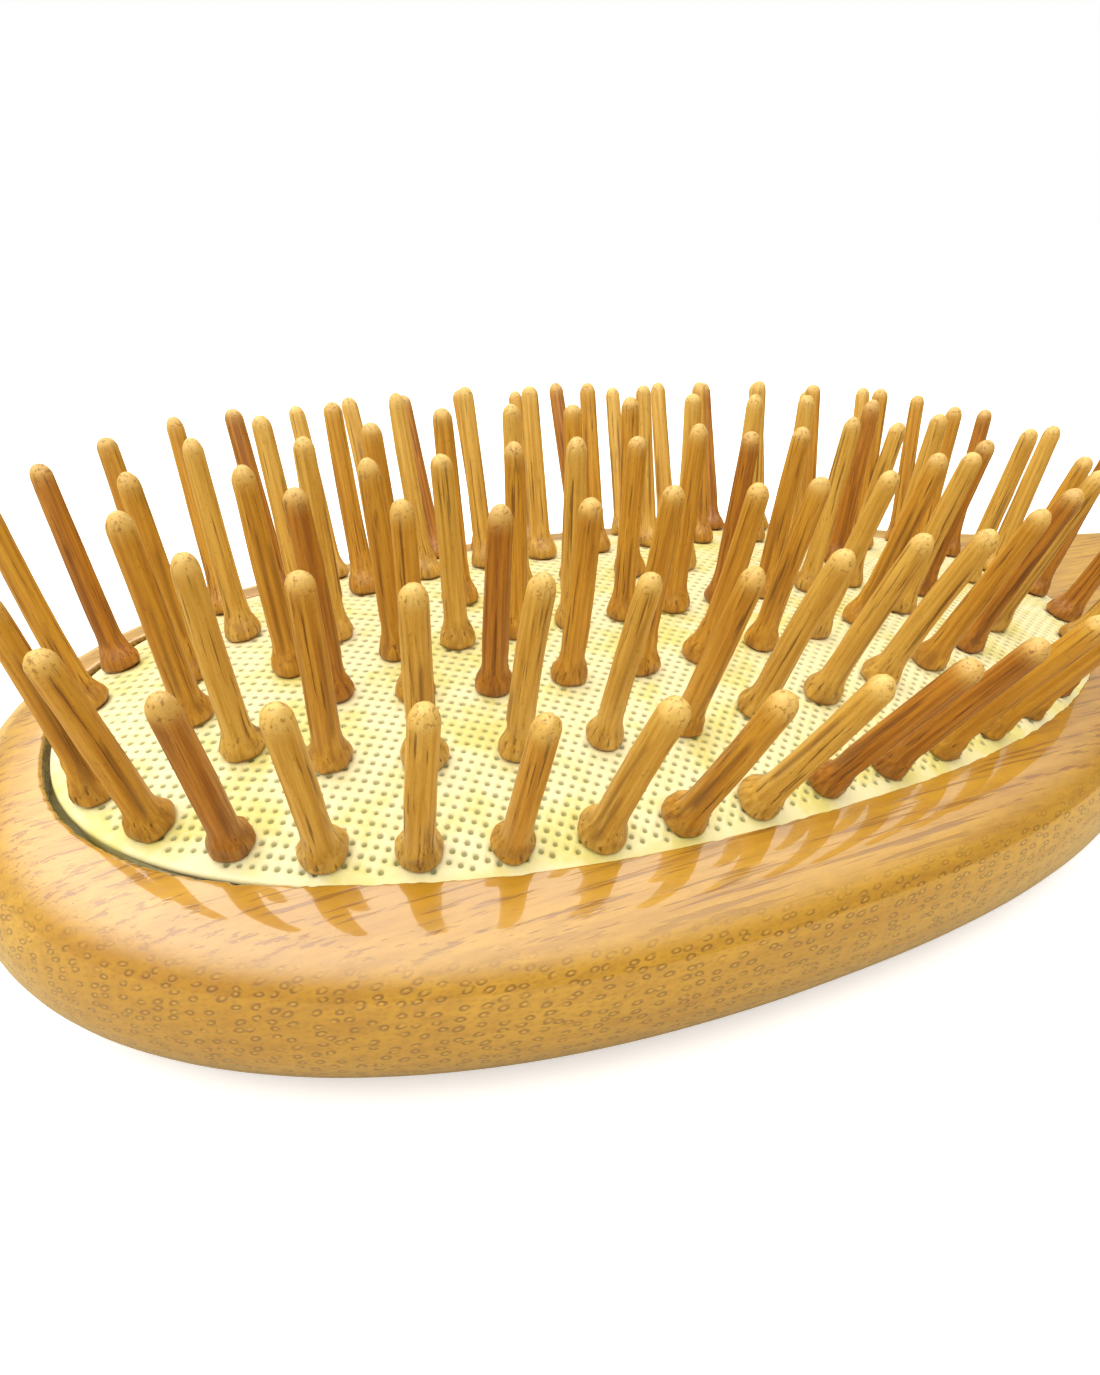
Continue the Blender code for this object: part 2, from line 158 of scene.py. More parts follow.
# ------------------------------------------------------------------ smooth noise
def lattice_noise(points, seed):
    """Value noise from -1 to 1 at each row of an (n, 3) array."""
    cell = np.floor(points).astype(np.int64)
    part = points - cell
    part = part * part * (3 - 2 * part)
    total = np.zeros(len(points))
    for corner in np.ndindex(2, 2, 2):
        at = cell + corner
        mixed = (at[:, 0] * 73856093) ^ (at[:, 1] * 19349663) ^ (at[:, 2] * 83492791)
        mixed = (mixed ^ (seed * 40503)) & 0xFFFFFFFF
        mixed = ((mixed ^ (mixed >> 15)) * 739982445) & 0xFFFFFFFF
        mixed = ((mixed ^ (mixed >> 12)) * 695872825) & 0xFFFFFFFF
        value = (mixed ^ (mixed >> 15)) / 0xFFFFFFFF * 2 - 1
        weight = np.where(corner, part, 1 - part).prod(axis=1)
        total += weight * value
    return total


def rough(points, size, seed, octaves=3):
    """Layered noise whose largest lumps measure size, which may differ along each axis."""
    points = np.asarray(points, float) / np.asarray(size, float)
    total = sum(lattice_noise(points * 2**k, seed + k) / 2**k for k in range(octaves))
    return total / (2 - 2.0 ** (1 - octaves))


def smooth_step(value, low, high):
    t = np.clip((value - low) / (high - low), 0, 1)
    return t * t * (3 - 2 * t)


# ------------------------------------------------------------------ mesh helpers
class Shell:
    """Vertices and faces collected in millimetres from the head's centre."""

    def __init__(self):
        self.points, self.faces, self.count = [], [], 0

    def add(self, points):
        """Adds points and returns their numbers."""
        points = np.asarray(points, float).reshape(-1, 3)
        numbers = np.arange(self.count, self.count + len(points))
        self.points.append(points)
        self.count += len(points)
        return numbers

    def skin(self, ring_a, ring_b):
        """Joins two closed rings of the same length with quads."""
        next_a, next_b = np.roll(ring_a, -1), np.roll(ring_b, -1)
        self.faces += np.stack([ring_a, next_a, next_b, ring_b], -1).tolist()

    def cap(self, ring, flip=False):
        ring = list(map(int, ring))
        self.faces.append(ring[::-1] if flip else ring)

    def all_points(self):
        return np.concatenate(self.points)


def to_row(points):
    return (np.asarray(points, float) + (HEAD_X, 0, RIM_Z)) * MM


def make_object(name, shell, material, matrix=None, values=None):
    """The mesh object, with its vertices measured from matrix, and its per-point values."""
    points = to_row(shell.all_points())
    if matrix is not None:
        back = np.array(matrix.inverted())
        points = points @ back[:3, :3].T + back[:3, 3]
    data = bpy.data.meshes.new(name)
    data.from_pydata(points.tolist(), [], shell.faces)
    data.update()
    work = bmesh.new()
    work.from_mesh(data)
    bmesh.ops.recalc_face_normals(work, faces=work.faces)
    work.to_mesh(data)
    work.free()
    data.shade_smooth()
    data.materials.append(material)
    for key, numbers in (values or {}).items():
        layer = data.attributes.new(key, "FLOAT", "POINT")
        layer.data.foreach_set("value", np.asarray(numbers, np.float32))
    item = bpy.data.objects.new(name, data)
    bpy.context.scene.collection.objects.link(item)
    if matrix is not None:
        item.matrix_world = matrix
    return item


# ------------------------------------------------------------------ material helpers
class Nodes:
    """A short way to write a material's node tree."""

    def __init__(self, name, **shader_values):
        self.material = bpy.data.materials.new(name)
        self.material.use_nodes = True
        self.tree = self.material.node_tree
        self.shader = self.tree.nodes["Principled BSDF"]
        for key, value in shader_values.items():
            self.shader.inputs[key.replace("_", " ")].default_value = value

    def add(self, kind, inputs=(), **settings):
        node = self.tree.nodes.new(kind)
        for key, value in settings.items():
            setattr(node, key, value)
        for key, value in dict(inputs).items():
            self.join(value, node.inputs[key])
        return node

    def join(self, value, socket):
        if isinstance(value, bpy.types.NodeSocket):
            self.tree.links.new(value, socket)
        else:
            socket.default_value = value

    def math(self, operation, a, b=0.0, clamp=False):
        node = self.add("ShaderNodeMath", operation=operation, use_clamp=clamp)
        self.join(a, node.inputs[0])
        self.join(b, node.inputs[1])
        return node.outputs[0]

    def place(self, scale, shift=(0, 0, 0)):
        """The object's own coordinates in millimetres, stretched by scale."""
        source = self.add("ShaderNodeTexCoord").outputs["Object"]
        scale = [s / MM for s in scale]
        node = self.add("ShaderNodeMapping", {"Vector": source, "Scale": scale, "Location": shift})
        return node.outputs[0]

    def noise(self, vector, scale=1.0, detail=2.0, rough=0.5, twist=0.0):
        node = self.add(
            "ShaderNodeTexNoise",
            {"Vector": vector, "Scale": scale, "Detail": detail, "Roughness": rough,
             "Distortion": twist},
        )
        return node.outputs["Fac"]

    def band(self, value, low, high, start=0.0, end=1.0):
        """Goes smoothly from start to end as value goes from low to high."""
        node = self.add("ShaderNodeMapRange", interpolation_type="SMOOTHSTEP")
        for key, number in (("Value", value), ("From Min", low), ("From Max", high),
                            ("To Min", start), ("To Max", end)):
            self.join(number, node.inputs[key])
        return node.outputs[0]

    def mix(self, share, a, b, blend="MIX"):
        node = self.add("ShaderNodeMix", data_type="RGBA", blend_type=blend)
        self.join(share, node.inputs[0])
        self.join(a, node.inputs[6])
        self.join(b, node.inputs[7])
        return node.outputs[2]

    def attribute(self, name):
        return self.add("ShaderNodeAttribute", attribute_name=name).outputs["Fac"]

    def bump(self, height, distance, strength=1.0, below=None):
        inputs = {"Height": height, "Distance": distance * MM, "Strength": strength}
        if below is not None:
            inputs["Normal"] = below
        return self.add("ShaderNodeBump", inputs).outputs[0]

    def finish(self, colour, roughness=None, normal=None):
        self.join(colour, self.shader.inputs["Base Color"])
        if roughness is not None:
            self.join(roughness, self.shader.inputs["Roughness"])
        if normal is not None:
            self.join(normal, self.shader.inputs["Normal"])
        return self.material


def rgb(red, green, blue):
    """A colour given as it looks on a screen, from 0 to 1."""
    linear = [c / 12.92 if c <= 0.04045 else ((c + 0.055) / 1.055) ** 2.4 for c in (red, green, blue)]
    return (*linear, 1.0)


# ------------------------------------------------------------------ materials
def wood_material():
    """Varnished bamboo: fibres along X, vessels that show as rings where they are cut, and painted shade on
    surfaces that face down.
    """
    n = Nodes("varnished_bamboo", Coat_Weight=1.0, Coat_Roughness=0.05, Coat_IOR=1.8)
    facing = n.add("ShaderNodeSeparateXYZ", {"Vector": n.add("ShaderNodeNewGeometry").outputs["Normal"]})
    on_top = n.band(facing.outputs["Z"], 0.62, 0.93)
    # painted shade: grows as the surface turns to face down
    under = n.band(facing.outputs["Z"], 0.1, -0.7)
    broad = n.noise(n.place((0.012, 0.06, 0.1)), 1.0, 3.0, 0.5)
    streak = n.noise(n.place((0.02, 0.9, 0.9)), 1.0, 4.0, 0.6)
    colour = n.mix(n.band(broad, 0.35, 0.65), rgb(0.82, 0.63, 0.19), rgb(0.74, 0.54, 0.10))
    colour = n.mix(n.band(streak, 0.42, 0.75, 0.0, 0.5), colour, rgb(0.63, 0.41, 0.06))
    hair = n.noise(n.place((0.05, 2.2, 2.2)), 1.0, 3.0, 0.7)
    hair_line = n.math("MULTIPLY", n.band(hair, 0.54, 0.62), on_top)
    colour = n.mix(n.math("MULTIPLY", hair_line, 0.6), colour, rgb(0.46, 0.25, 0.04))

    at = n.add("ShaderNodeSeparateXYZ", {"Vector": n.place((1, 1, 1))}).outputs
    wobble = n.math("MULTIPLY", n.noise(n.place((0.3, 0.9, 0.9)), 1.0, 2.0), 0.5)

    def vessels(across, up):
        """Distance to the nearest vessel, with across and up cells to the millimetre."""
        slant = n.math("MULTIPLY", at["Y"], -0.7 * across)
        flat_x = n.math("ADD", n.math("MULTIPLY", at["X"], across), slant)
        flat_y = n.math("ADD", n.math("MULTIPLY", at["Z"], up), n.math("MULTIPLY", at["Y"], 0.35 * up))
        spot_x, spot_y = n.math("ADD", flat_x, wobble), n.math("ADD", flat_y, wobble)
        spot = n.add("ShaderNodeCombineXYZ", {"X": spot_x, "Y": spot_y})
        cells = n.add("ShaderNodeTexVoronoi", {"Vector": spot.outputs[0], "Scale": 1.0, "Randomness": 0.72},
                      voronoi_dimensions="2D")
        return cells.outputs["Distance"]

    distance = vessels(0.60, 1.10)
    outer = n.band(distance, 0.24, 0.34, 1.0, 0.0)
    inner = n.band(distance, 0.06, 0.18, 0.0, 1.0)
    broken = n.band(n.noise(n.place((0.9, 2.2, 2.2)), 1.0, 2.0), 0.32, 0.52, 0.1, 1.0)
    below = n.band(facing.outputs["Z"], 0.45, 0.88, 1.0, 0.0)
    ring = n.math("MULTIPLY", n.math("MULTIPLY", n.math("MULTIPLY", outer, inner), broken), below)
    core = n.math("MULTIPLY", n.math("SUBTRACT", 1.0, inner), below)
    speck = n.math("MULTIPLY", n.band(vessels(1.05, 2.1), 0.16, 0.34, 1.0, 0.0), below)
    colour = n.mix(n.math("MULTIPLY", speck, 0.22), colour, rgb(0.52, 0.33, 0.10))
    colour = n.mix(n.math("MULTIPLY", ring, 0.66), colour, rgb(0.42, 0.26, 0.05))
    colour = n.mix(n.math("MULTIPLY", core, 0.22), colour, rgb(0.88, 0.72, 0.36))
    mottle = n.noise(n.place((0.35, 1.1, 1.1)), 1.0, 5.0, 0.7)
    colour = n.mix(n.band(mottle, 0.35, 0.75, 0.0, 0.35), colour, rgb(0.60, 0.43, 0.11))
    # painted shade: surfaces that face down are darkened and greyed
    colour = n.mix(n.math("MULTIPLY", under, 0.4), colour, rgb(0.47, 0.35, 0.14))
    raw = n.attribute("raw")
    raw_noise = n.noise(n.place((1.2, 3.0, 3.0)), 1.0, 3.0, 0.7)
    raw_colour = n.mix(n.band(raw_noise, 0.35, 0.65), rgb(0.70, 0.55, 0.20), rgb(0.42, 0.28, 0.07))
    colour = n.mix(raw, colour, raw_colour)
    relief = n.math("ADD", n.math("MULTIPLY", streak, 0.4), n.math("MULTIPLY", ring, -0.8))
    relief = n.math("ADD", relief, n.math("MULTIPLY", hair_line, -0.6))
    normal = n.bump(relief, 0.03)
    wavy = n.math("ADD", n.math("MULTIPLY", hair_line, -0.5), n.noise(n.place((0.05, 0.5, 0.5)), 1.0, 2.0))
    n.join(n.bump(wavy, 0.012), n.shader.inputs["Coat Normal"])
    return n.finish(colour, n.band(streak, 0.3, 0.8, 0.34, 0.5), normal)


def cushion_material():
    """Cream rubber with yellow-green mottling, darkened towards the bottom of its dimples by painted shade.
    """
    n = Nodes("cushion_rubber", Coat_Weight=0.35, Coat_Roughness=0.22)
    cloudy = n.noise(n.place((0.16, 0.16, 0.16)), 1.0, 4.0, 0.6)
    fine = n.noise(n.place((0.8, 0.8, 0.8)), 1.0, 3.0, 0.6)
    colour = n.mix(n.band(cloudy, 0.42, 0.66), rgb(0.94, 0.91, 0.72), rgb(0.88, 0.84, 0.50))
    colour = n.mix(n.band(fine, 0.48, 0.8, 0.0, 0.4), colour, rgb(0.88, 0.86, 0.52))
    # painted shade: darker towards the bottom of each dimple, down the pin holes and under the rolled edge
    pit_shade = n.attribute("pit_shade")
    colour = n.mix(n.math("MULTIPLY", pit_shade, 0.85), colour, rgb(0.44, 0.45, 0.22))
    grain = n.noise(n.place((5, 5, 5)), 1.0, 2.0)
    return n.finish(colour, n.band(fine, 0.3, 0.7, 0.42, 0.58), n.bump(grain, 0.012))


PIN_TONES = {
    "pin_straw": (rgb(0.87, 0.71, 0.33), rgb(0.76, 0.57, 0.19)),
    "pin_golden": (rgb(0.83, 0.63, 0.21), rgb(0.70, 0.48, 0.10)),
    "pin_brown": (rgb(0.75, 0.51, 0.14), rgb(0.58, 0.35, 0.06)),
}


def pin_material(name):
    """Bare bamboo: lengthwise fibres, dark splits, a reddish foot, painted shade in the cut splits and where
    the foot meets the cushion, and a painted highlight on the tip.
    """
    light, deep = PIN_TONES[name]
    n = Nodes(name + "_bamboo", Coat_Weight=0.15, Coat_Roughness=0.3)
    seed = n.attribute("seed")
    shift_x, shift_z = n.math("MULTIPLY", seed, 37.0), n.math("MULTIPLY", seed, 11.0)
    shift = n.add("ShaderNodeCombineXYZ", {"X": shift_x, "Z": shift_z})

    def own(scale):
        """Coordinates that differ from pin to pin."""
        node = n.add("ShaderNodeVectorMath", operation="ADD")
        n.join(n.place(scale), node.inputs[0])
        n.join(shift.outputs[0], node.inputs[1])
        return node.outputs[0]

    fibre = n.noise(own((2.4, 2.4, 0.07)), 1.0, 5.0, 0.65)
    colour = n.mix(n.band(fibre, 0.34, 0.66), light, deep)
    split = n.noise(own((3.0, 3.0, 0.09)), 1.0, 3.0, 0.6)
    colour = n.mix(n.band(split, 0.59, 0.67, 0.0, 0.75), colour, rgb(0.40, 0.22, 0.05))
    fleck = n.noise(own((4.0, 4.0, 1.6)), 1.0, 4.0, 0.7)
    colour = n.mix(n.band(fleck, 0.56, 0.74, 0.0, 0.45), colour, rgb(0.50, 0.29, 0.06))
    # the collar's own darker tone, plus painted shade in the cut splits and at the foot where the pin meets
    # the cushion
    dark = n.attribute("dark")
    colour = n.mix(n.math("MULTIPLY", dark, 0.85), colour, rgb(0.45, 0.26, 0.06))
    # painted highlight: the tip is lightened towards cream, with darker pits of its own
    tip_highlight = n.attribute("tip_highlight")
    pitted = n.band(n.noise(own((3.0, 3.0, 3.0)), 1.0, 2.0), 0.58, 0.66, 0.0, 0.7)
    tip = n.mix(pitted, rgb(0.88, 0.74, 0.42), rgb(0.48, 0.30, 0.10))
    colour = n.mix(tip_highlight, colour, tip)
    height = n.math("SUBTRACT", fibre, n.math("MULTIPLY", n.band(split, 0.58, 0.70), 0.8))
    return n.finish(colour, n.band(fibre, 0.3, 0.7, 0.42, 0.6), n.bump(height, 0.05))


# ------------------------------------------------------------------ wooden body
TOP_POWER = 2.5
LIP_OVER, TOE_GAP = 0.75, 0.4
LIP_BAND = 0.6
END_NARROWING = 0.32
OUTLINE_POINTS = 1200
EDGE_RINGS = 26


def handle_side():
    """One side of the handle, from where it leaves the head to its end, as a smooth curve."""
    head = oval_points(HEAD_A, HEAD_B)
    upper = head[(head[:, 1] > 0) & (head[:, 0] > 0)]
    upper = upper[np.argsort(upper[:, 0])]
    leave = HANDLE_LEAVES_HEAD
    anchors = [(x, np.interp(x, upper[:, 0], upper[:, 1])) for x in (leave - 14, leave)]
    anchors += HANDLE_STATIONS
    start_x, start_y = HANDLE_STATIONS[-1]
    end_radius = HANDLE_END - start_x
    anchors.append((start_x + 0.6 * end_radius, start_y * 0.82))
    anchors = np.array(anchors)
    curve = []
    for i in range(1, len(anchors) - 2):
        p0, p1, p2, p3 = anchors[i - 1:i + 3]
        for t in np.linspace(0, 1, 12, endpoint=False):
            curve.append(0.5 * (2 * p1 + (p2 - p0) * t + (2 * p0 - 5 * p1 + 4 * p2 - p3) * t**2
                                + (3 * p1 - p0 - 3 * p2 + p3) * t**3))
    for t in np.linspace(0, math.pi / 2, 16):
        curve.append((start_x + end_radius * math.sin(t), start_y * math.cos(t) ** 0.9))
    return np.array(curve)


def body_outline():
    """The head and handle seen from above, as a closed polyline from the toe."""
    head = oval_points(HEAD_A, HEAD_B)
    front = head[(head[:, 1] <= 0) & (head[:, 0] < HANDLE_LEAVES_HEAD)]
    front = front[np.argsort(front[:, 0])]
    half = np.concatenate([front, handle_side() * (1, -1)])
    back = half[::-1][1:-1] * (1, -1)
    return np.concatenate([half, back, half[:1]])


def inside_loop(loop, x, y):
    """Whether a point lies inside a closed loop of points."""
    ahead = np.roll(loop, -1, axis=0)
    crosses = (loop[:, 1] > y) != (ahead[:, 1] > y)
    here, there = loop[crosses], ahead[crosses]
    at = here[:, 0] + (y - here[:, 1]) / (there[:, 1] - here[:, 1]) * (there[:, 0] - here[:, 0])
    return np.count_nonzero(at > x) % 2 == 1


def pocket_wall():
    """The pocket's wall at the rim: wider than the cushion at the toe, over its edge elsewhere."""
    wide, close = (
        oval_points(CUSHION_A + reach, CUSHION_B + reach, 4000)
        for reach in (POCKET_CLEARANCE + TOE_GAP, POCKET_CLEARANCE - LIP_OVER)
    )
    over = smooth_step(wide[:, 0], -54, -34)[:, None]
    return wide * (1 - over) + close * over


def make_body():
    """The wood as one closed surface, from the flat back up round the edge, over the rim, down
    the pocket's torn lip, round its groove and across its floor."""
    shell = Shell()
    place, _ = evenly(body_outline(), OUTLINE_POINTS)
    for _ in range(20):
        place = (np.roll(place, 1, axis=0) + 2 * place + np.roll(place, -1, axis=0)) / 4
    tangent = np.roll(place, -2, axis=0) - np.roll(place, 2, axis=0)
    to_inside = inward(tangent / np.linalg.norm(tangent, axis=1, keepdims=True))
    narrow = 1 - END_NARROWING * smooth_step(place[:, 0], HANDLE_END - 24, HANDLE_END - 7)
    crest = place + (EDGE_RADIUS * narrow)[:, None] * to_inside
    wall = pocket_wall()
    lip, lip_way = evenly(wall, OUTLINE_POINTS)
    lip_out = -inward(lip_way)
    nearest = np.array([np.argmin(((lip - p) ** 2).sum(axis=1)) for p in crest])
    gap = ((crest - lip[nearest]) * lip_out[nearest]).sum(axis=1)
    start = np.arcsin(np.clip((LIP_BAND - gap) / EDGE_RADIUS, 0, 0.5))

    rings, raw = [], []

    def ring(flat, height, rawness=0.0):
        rings.append(np.column_stack([flat, np.broadcast_to(height, len(flat))]))
        raw.append(np.full(len(flat), rawness))

    for k in range(EDGE_RINGS, -1, -1):
        angle = start + (math.pi - start) * (k / EDGE_RINGS)
        power = np.where(angle < math.pi / 2, 2 / TOP_POWER, 1.0)
        inset = EDGE_RADIUS * narrow * (1 - np.abs(np.sin(angle)) ** power)
        rise = np.sign(np.cos(angle)) * np.abs(np.cos(angle)) ** power
        ring(place + inset[:, None] * to_inside, EDGE_RADIUS * (rise - 1))
    outside = len(rings)
    grain = np.abs(lip_out[:, 1])
    tear_at = np.column_stack([lip, np.zeros(len(lip))])
    torn = 0.55 * rough(tear_at, (3.0, 0.5, 1.0), 11, 2) + 0.6 * rough(tear_at, (0.9, 0.35, 1.0), 12, 2)
    chip = 0.36 * np.clip(torn, 0, 1) * (0.5 + 0.7 * grain)
    ring(lip + (LIP_BAND - 0.1) * lip_out, 0.0)
    for outset, drop, rawness in ((0.34, 0.0, 0.1), (0.16, 0.05, 0.45), (0.05, 0.16, 0.9)):
        spread = np.minimum(outset + chip, LIP_BAND - 0.13)
        ring(lip + spread[:, None] * lip_out, -drop * (1 + 2 * chip), rawness)
    for depth in (0.35, 0.7, 1.1, 1.6, 2.2, GROOVE_TOP):
        around = np.column_stack([lip, np.full(len(lip), -depth)])
        shake = 0.12 * rough(around, (0.8, 0.8, 0.5), 13) + 0.4 * chip * (1 - depth / GROOVE_TOP)
        ring(lip + (shake + 0.02)[:, None] * lip_out, -depth, 1.0)
    groove_out = GROOVE_OUT - POCKET_CLEARANCE
    steps = ((groove_out, GROOVE_TOP), (groove_out, GROOVE_BOTTOM), (0, GROOVE_BOTTOM), (0, POCKET_DEPTH))
    for outset, depth in steps:
        ring(lip + outset * lip_out, -depth, 1.0)
    for share in (0.7, 0.35):
        ring(lip * share, -POCKET_DEPTH, 1.0)

    away = np.column_stack([-to_inside, np.zeros(len(place))])
    for k in range(3, outside):
        angle = start + (math.pi - start) * ((EDGE_RINGS - k) / EDGE_RINGS)
        normal = away * np.sin(angle)[:, None]
        normal[:, 2] += np.cos(angle)
        rings[k] = rings[k] + normal * (0.05 * rough(rings[k], (14, 9, 9), 21, 2))[:, None]
    numbers = [shell.add(points) for points in rings]
    for group in (numbers[:outside], numbers[outside:]):
        for lower, upper in zip(group, group[1:]):
            shell.skin(lower, upper)
    shell.cap(numbers[0], flip=True)
    shell.cap(numbers[-1])
    edge, inner = (rings[k][:, :2] for k in (outside - 1, outside))
    shell.faces += fill_between(
        shell.all_points(),
        [numbers[outside - 1].tolist(), numbers[outside].tolist()],
        lambda x, y: inside_loop(edge, x, y) and not inside_loop(inner, x, y),
    )
    body = make_object("varnished_body", shell, wood_material(), values={"raw": np.concatenate(raw)})
    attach(body, "root")
    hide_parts("bamboo_body")
    return body


# ------------------------------------------------------------------ cushion
DIMPLE_PITCH = 1.12
LATTICE_TURN = math.radians(-45)
LATTICE_BEND = 0.0065
EDGE_GROW = 0.38
EDGE_ROUND = 0.45
HOLE_RADIUS = 0.75
HOLE_SIDES = 14
EDGE_POINTS = 420


def lattice_to_head(lattice):
    """Where a point of the flat dimple lattice lies on the head, its rows bent into arcs."""
    turned = lattice * DIMPLE_PITCH * np.exp(1j * LATTICE_TURN)
    return np.log(1 + 1j * LATTICE_BEND * turned) / (1j * LATTICE_BEND)


def head_to_lattice(place):
    turned = (np.exp(1j * LATTICE_BEND * place) - 1) / (1j * LATTICE_BEND)
    return turned / (DIMPLE_PITCH * np.exp(1j * LATTICE_TURN))


def edge_distance(x, y):
    """How far a point is inside the cushion's outline, to first order."""
    reach = oval_reach(x, y)
    step = 0.02
    slope_x = (oval_reach(x + step, y) - oval_reach(x - step, y)) / (2 * step)
    slope_y = (oval_reach(x, y + step) - oval_reach(x, y - step)) / (2 * step)
    return (1 - reach) / np.maximum(np.hypot(slope_x, slope_y), 1e-6)


def cushion_top(x, y):
    """The cushion's height, with its edge rolled down where it enters the wood."""
    part = np.clip(1 - (edge_distance(x, y) + EDGE_GROW) / EDGE_ROUND, 0, 1)
    return dome(x, y) - EDGE_ROUND * (1 - np.sqrt(1 - part**2))


def pin_groups():
    """Every body of pins: its name, its track, the hole's shift and its pins' distances."""
    groups = []
    for ring in RINGS:
        track = OvalTrack(ring["inset"])
        pitch = track.length / ring["pitches"]
        pins = []
        for number in range(ring["pitches"]):
            if number == ring["empty"]:
                continue
            distance = (ring["start"] + number) * pitch
            (x, y), _ = track.at(distance)
            if abs(x) <= ring["side_x"]:
                region = "front" if y < 0 else "back"
            else:
                region = "toe" if x < 0 else "heel"
            pins.append((distance, region))
        first = next(i for i, pin in enumerate(pins) if pin[1] == "front")
        pins = pins[first:] + [(d + track.length, r) for d, r in pins[:first]]
        for region in ("front", "heel", "back", "toe"):
            distances = [d for d, r in pins if r == region]
            groups.append((f"{ring['name']}_{region}", track, ring["shift"], distances))
    row = [(i - (CENTRE_PINS - 1) / 2) * CENTRE_PITCH for i in range(CENTRE_PINS)]
    groups.append(("centre_row", StraightTrack(), 0.0, row))
    return groups


def hole_places():
    found = []
    for _, track, shift, distances in pin_groups():
        for distance in distances:
            place, tangent = track.at(distance)
            found.append(place + shift * inward(tangent))
    return np.array(found)


def fill_between(points, loops, keep):
    """Triangles that fill the flat region whose edge is the given loops of point numbers."""
    used = sorted({i for loop in loops for i in loop})
    number = {old: new for new, old in enumerate(used)}
    edges = [
        (number[a], number[b]) for loop in loops for a, b in zip(loop, loop[1:] + loop[:1])
    ]
    flat = [Vector(points[i][:2]) for i in used]
    out = delaunay_2d_cdt(flat, edges, [], 1, 1e-7)
    source = [ids[0] if ids else None for ids in out[3]]
    triangles = []
    for face in out[2]:
        centre = sum((out[0][i] for i in face), Vector((0, 0))) / len(face)
        if any(source[i] is None for i in face) or not keep(centre.x, centre.y):
            continue
        triangles.append([used[source[i]] for i in face])
    return triangles


def boundary_loops(quads):
    """The closed loops of edges that belong to only one quad, as lists of corner keys."""
    following = {}
    sides = {(a, b) for quad in quads for a, b in zip(quad, quad[1:] + quad[:1])}
    for a, b in sides:
        if (b, a) not in sides:
            following.setdefault(a, []).append(b)
    loops = []
    while following:
        start = next(iter(following))
        loop, at = [start], following[start].pop()
        if not following[start]:
            del following[start]
        while at != start:
            loop.append(at)
            ahead = following[at].pop()
            if not following[at]:
                del following[at]
            at = ahead
        loops.append(loop)
    return loops


